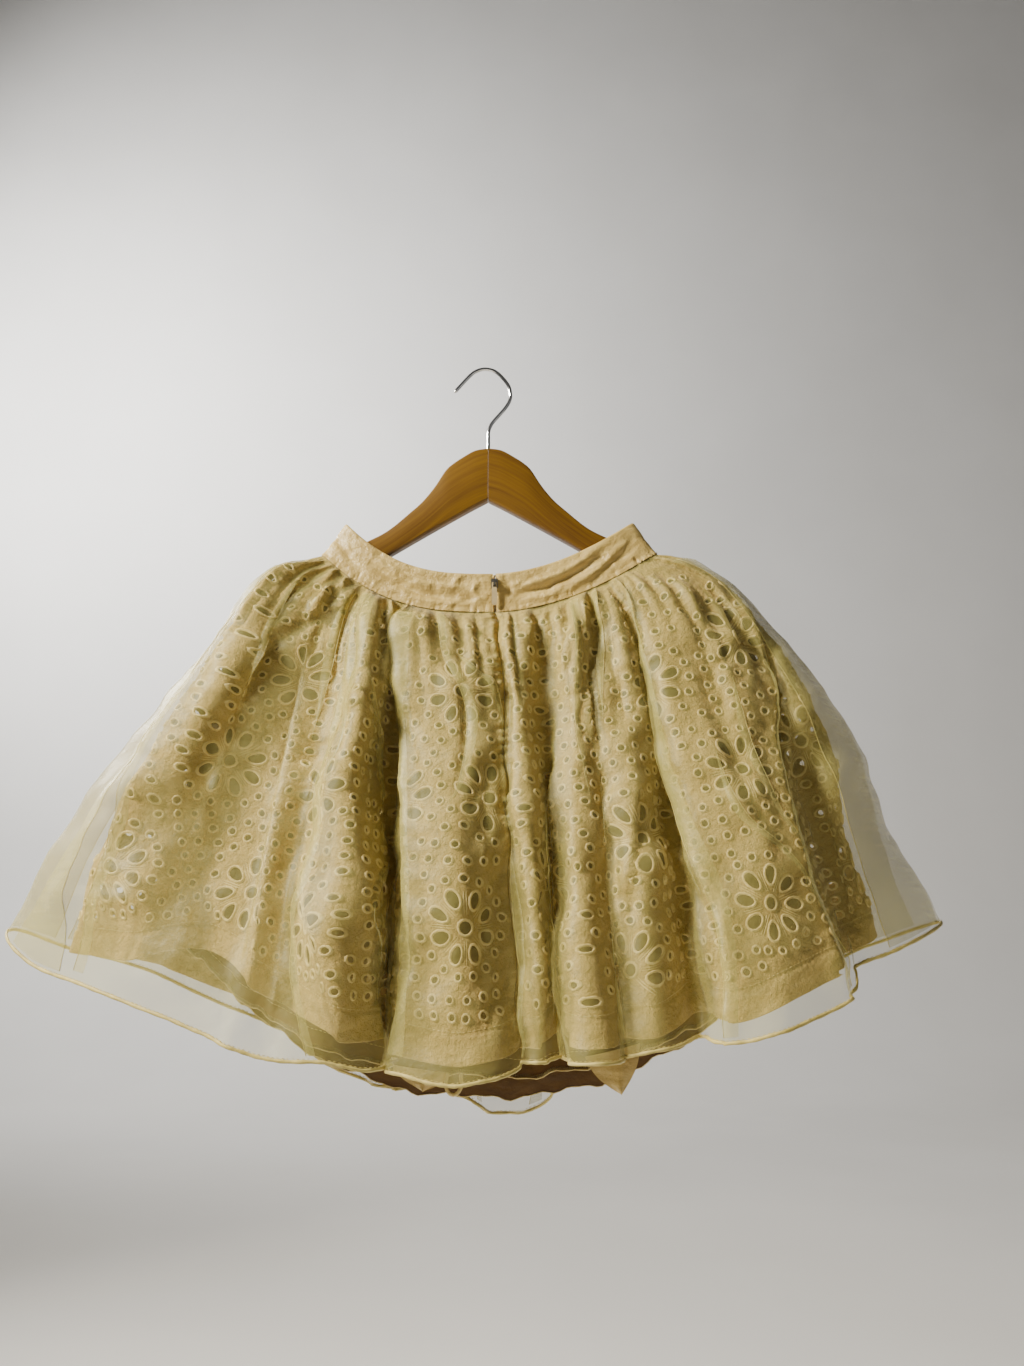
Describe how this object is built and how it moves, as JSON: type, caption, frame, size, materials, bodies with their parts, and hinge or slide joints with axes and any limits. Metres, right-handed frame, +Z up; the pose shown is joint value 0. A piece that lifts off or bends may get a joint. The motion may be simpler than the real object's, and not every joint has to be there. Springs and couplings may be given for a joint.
{
  "type": "lace mini skirt on a wooden hanger",
  "caption": "Gathered mini skirt of eyelet lace under sheer organza, with a satin waistband and back zip, hanging on a flat wooden hanger.",
  "frame": {"origin": "inner crown of the hanger's hook, where a rail or nail carries it", "axes": "+Z up, -Y the skirt's back with the zip, +X to the right seen from the zipped side"},
  "size_m": [0.7805, 0.1805, 0.6783],
  "materials": {
    "wood": "satin varnish",
    "hook_wire": "bright",
    "waistband": "cream satin",
    "organza": "sheer, soft sheen",
    "eyelet": "matte cotton with stitched eyelets",
    "lining": "champagne satin",
    "zip": "nickel"
  },
  "bodies": {
    "skirt": {"hanger_left": "wood", "hanger_right": "wood", "hanger_hook": "hook_wire", "waistband_back_left": "waistband", "waistband_back_right": "waistband", "waistband_front": "waistband", "organza_back_left": "organza", "organza_back_right": "organza", "organza_front": "organza", "eyelet_back_left": "eyelet", "eyelet_back_right": "eyelet", "eyelet_front": "eyelet", "lining_back": "lining", "lining_front": "lining", "zip_chain": "zip", "zip_slider": "zip"},
    "zip_pull": {"zip_pull": "zip"}
  },
  "joints": [
    {"name": "pull_swing", "type": "hinge", "parent": "skirt", "child": "zip_pull", "pos_m": [0.0103, -0.0171, -0.217], "axis": [-1, 0, 0], "range_deg": [0, 170]}
  ]
}
